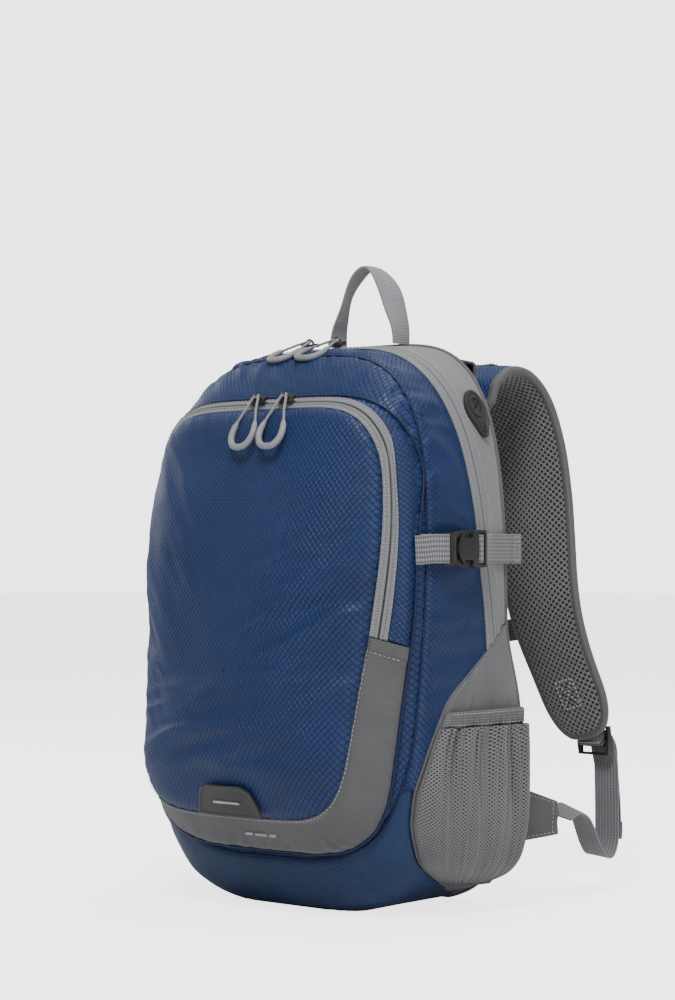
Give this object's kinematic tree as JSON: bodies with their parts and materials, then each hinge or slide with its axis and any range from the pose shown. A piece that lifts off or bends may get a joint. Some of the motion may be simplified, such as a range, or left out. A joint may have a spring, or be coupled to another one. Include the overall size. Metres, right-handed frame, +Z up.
{
  "type": "daypack",
  "caption": "Daypack with an arched main zip, a zipped front pocket, side mesh pockets, side compression straps, a padded back and shoulder straps, a chest strap and a webbing carry handle.",
  "frame": {"origin": "on the floor, at the centre of the main compartment's flat base", "axes": "+Z up, the front pocket faces -Y, the shoulder straps are at +Y, and +X is on the right of someone who faces the front pocket"},
  "size_m": [0.3564, 0.3497, 0.5511],
  "materials": {
    "blue_ripstop": "woven polyester with a diamond ripstop grid",
    "grey_polyester": "plain coarse weave",
    "grey_mesh": "knitted mesh",
    "zip_tape": "woven tape over a reversed coil",
    "grey_webbing": "ribbed webbing",
    "black_acetal": "moulded, satin",
    "soft_rubber": "moulded soft rubber",
    "slider_metal": "gunmetal",
    "padding": "foam under spacer mesh",
    "frame_sheet": "extruded sheet",
    "lining": "thin plain weave"
  },
  "bodies": {
    "pack": {"anchor_wing_left": "grey_polyester", "anchor_wing_right": "grey_polyester", "back_foam": "padding", "back_pad_left": "padding", "back_pad_right": "padding", "back_panel": "grey_polyester", "base_panel": "blue_ripstop", "buckle_socket_left": "black_acetal", "buckle_socket_right": "black_acetal", "cable_port": "soft_rubber", "compression_loop_left": "grey_webbing", "compression_loop_right": "grey_webbing", "compression_tail_left": "grey_webbing", "compression_tail_right": "grey_webbing", "frame_sheet": "frame_sheet", "front_gusset": "blue_ripstop", "front_panel": "blue_ripstop", "handle_foot_left": "grey_webbing", "handle_foot_right": "grey_webbing", "inner_sleeve": "lining", "lower_webbing_left": "grey_webbing", "lower_webbing_right": "grey_webbing", "lumbar_pad": "padding", "main_zip": "zip_tape", "mesh_pocket_left": "grey_mesh", "mesh_pocket_right": "grey_mesh", "pocket_band": "grey_polyester", "pocket_gusset": "blue_ripstop", "pocket_hem_left": "grey_polyester", "pocket_hem_right": "grey_polyester", "pocket_panel": "blue_ripstop", "pocket_zip": "zip_tape", "rear_gusset": "grey_polyester", "reflector_tab": "black_acetal", "side_gore_left": "grey_polyester", "side_gore_right": "grey_polyester", "strap_yoke": "blue_ripstop"},
    "handle": {"handle_loop": "grey_webbing"},
    "harness": {"shoulder_strap_left": "padding", "shoulder_strap_right": "padding"},
    "chest_strap": {"chest_slider_left": "black_acetal", "chest_slider_right": "black_acetal", "chest_webbing_left": "grey_webbing", "chest_webbing_right": "grey_webbing", "chest_socket": "black_acetal"},
    "chest_tongue": {"chest_tongue": "black_acetal"},
    "lock_left": {"ladder_lock_left": "black_acetal", "webbing_tail_left": "grey_webbing"},
    "lock_right": {"ladder_lock_right": "black_acetal", "webbing_tail_right": "grey_webbing"},
    "tongue_left": {"buckle_tongue_left": "black_acetal"},
    "tongue_right": {"buckle_tongue_right": "black_acetal"},
    "main_slider_left": {"main_slider_left": "slider_metal"},
    "main_slider_right": {"main_slider_right": "slider_metal"},
    "pocket_slider_left": {"pocket_slider_left": "slider_metal"},
    "pocket_slider_right": {"pocket_slider_right": "slider_metal"},
    "main_pull_left": {"main_pull_left": "soft_rubber"},
    "main_pull_right": {"main_pull_right": "soft_rubber"},
    "pocket_pull_left": {"pocket_pull_left": "soft_rubber"},
    "pocket_pull_right": {"pocket_pull_right": "soft_rubber"}
  },
  "joints": [
    {"name": "handle_fold", "type": "hinge", "parent": "pack", "child": "handle", "pos_m": [0, 0.0785, 0.489], "axis": [1, 0, 0], "range_deg": [-50, 60], "deforming": ["handle_foot_left", "handle_foot_right"]},
    {"name": "harness_swing", "type": "hinge", "parent": "pack", "child": "harness", "pos_m": [0, 0.1045, 0.452], "axis": [1, 0, 0], "range_deg": [-8, 30], "stiffness_Nm_per_rad": 3, "springref_deg": 2.52, "deforming": ["lower_webbing_left", "lower_webbing_right"]},
    {"name": "chest_strap_height", "type": "slide", "parent": "harness", "child": "chest_strap", "axis": [0, 0, 1], "range_m": [-0.02, 0.03]},
    {"name": "chest_buckle_release", "type": "slide", "parent": "chest_strap", "child": "chest_tongue", "axis": [1, 0, 0], "range_m": [0, 0.016], "deforming": ["chest_webbing_right"]},
    {"name": "ladder_lock_tilt_left", "type": "hinge", "parent": "harness", "child": "lock_left", "pos_m": [-0.145, 0.2174, 0.1423], "axis": [1, 0, 0], "range_deg": [-2, 25]},
    {"name": "ladder_lock_tilt_right", "type": "hinge", "parent": "harness", "child": "lock_right", "pos_m": [0.145, 0.2174, 0.1423], "axis": [1, 0, 0], "range_deg": [-2, 25]},
    {"name": "side_buckle_release_left", "type": "slide", "parent": "pack", "child": "tongue_left", "axis": [0, -1, 0], "range_m": [0, 0.026], "deforming": ["compression_loop_left"]},
    {"name": "side_buckle_release_right", "type": "slide", "parent": "pack", "child": "tongue_right", "axis": [0, -1, 0], "range_m": [0, 0.026], "deforming": ["compression_loop_right"]},
    {"name": "main_zip_left", "type": "slide", "parent": "pack", "child": "main_slider_left", "axis": [1, 0, 0], "range_m": [-0.035, 0.0025]},
    {"name": "main_pull_swing_left", "type": "hinge", "parent": "main_slider_left", "child": "main_pull_left", "pos_m": [-0.019, 0.0174, 0.4811], "axis": [1, 0, 0], "range_deg": [-100, 0]},
    {"name": "main_zip_right", "type": "slide", "parent": "pack", "child": "main_slider_right", "axis": [1, 0, 0], "range_m": [-0.0025, 0.035]},
    {"name": "main_pull_swing_right", "type": "hinge", "parent": "main_slider_right", "child": "main_pull_right", "pos_m": [0.012, 0.0174, 0.4811], "axis": [1, 0, 0], "range_deg": [-100, 0]},
    {"name": "pocket_zip_left", "type": "slide", "parent": "pack", "child": "pocket_slider_left", "axis": [1, 0, 0], "range_m": [-0.035, 0.0025]},
    {"name": "pocket_pull_swing_left", "type": "hinge", "parent": "pocket_slider_left", "child": "pocket_pull_left", "pos_m": [-0.007, -0.0653, 0.4284], "axis": [1, 0, 0], "range_deg": [-100, 0]},
    {"name": "pocket_zip_right", "type": "slide", "parent": "pack", "child": "pocket_slider_right", "axis": [1, 0, 0], "range_m": [-0.0025, 0.035]},
    {"name": "pocket_pull_swing_right", "type": "hinge", "parent": "pocket_slider_right", "child": "pocket_pull_right", "pos_m": [0.024, -0.0653, 0.4284], "axis": [1, 0, 0], "range_deg": [-100, 0]}
  ]
}
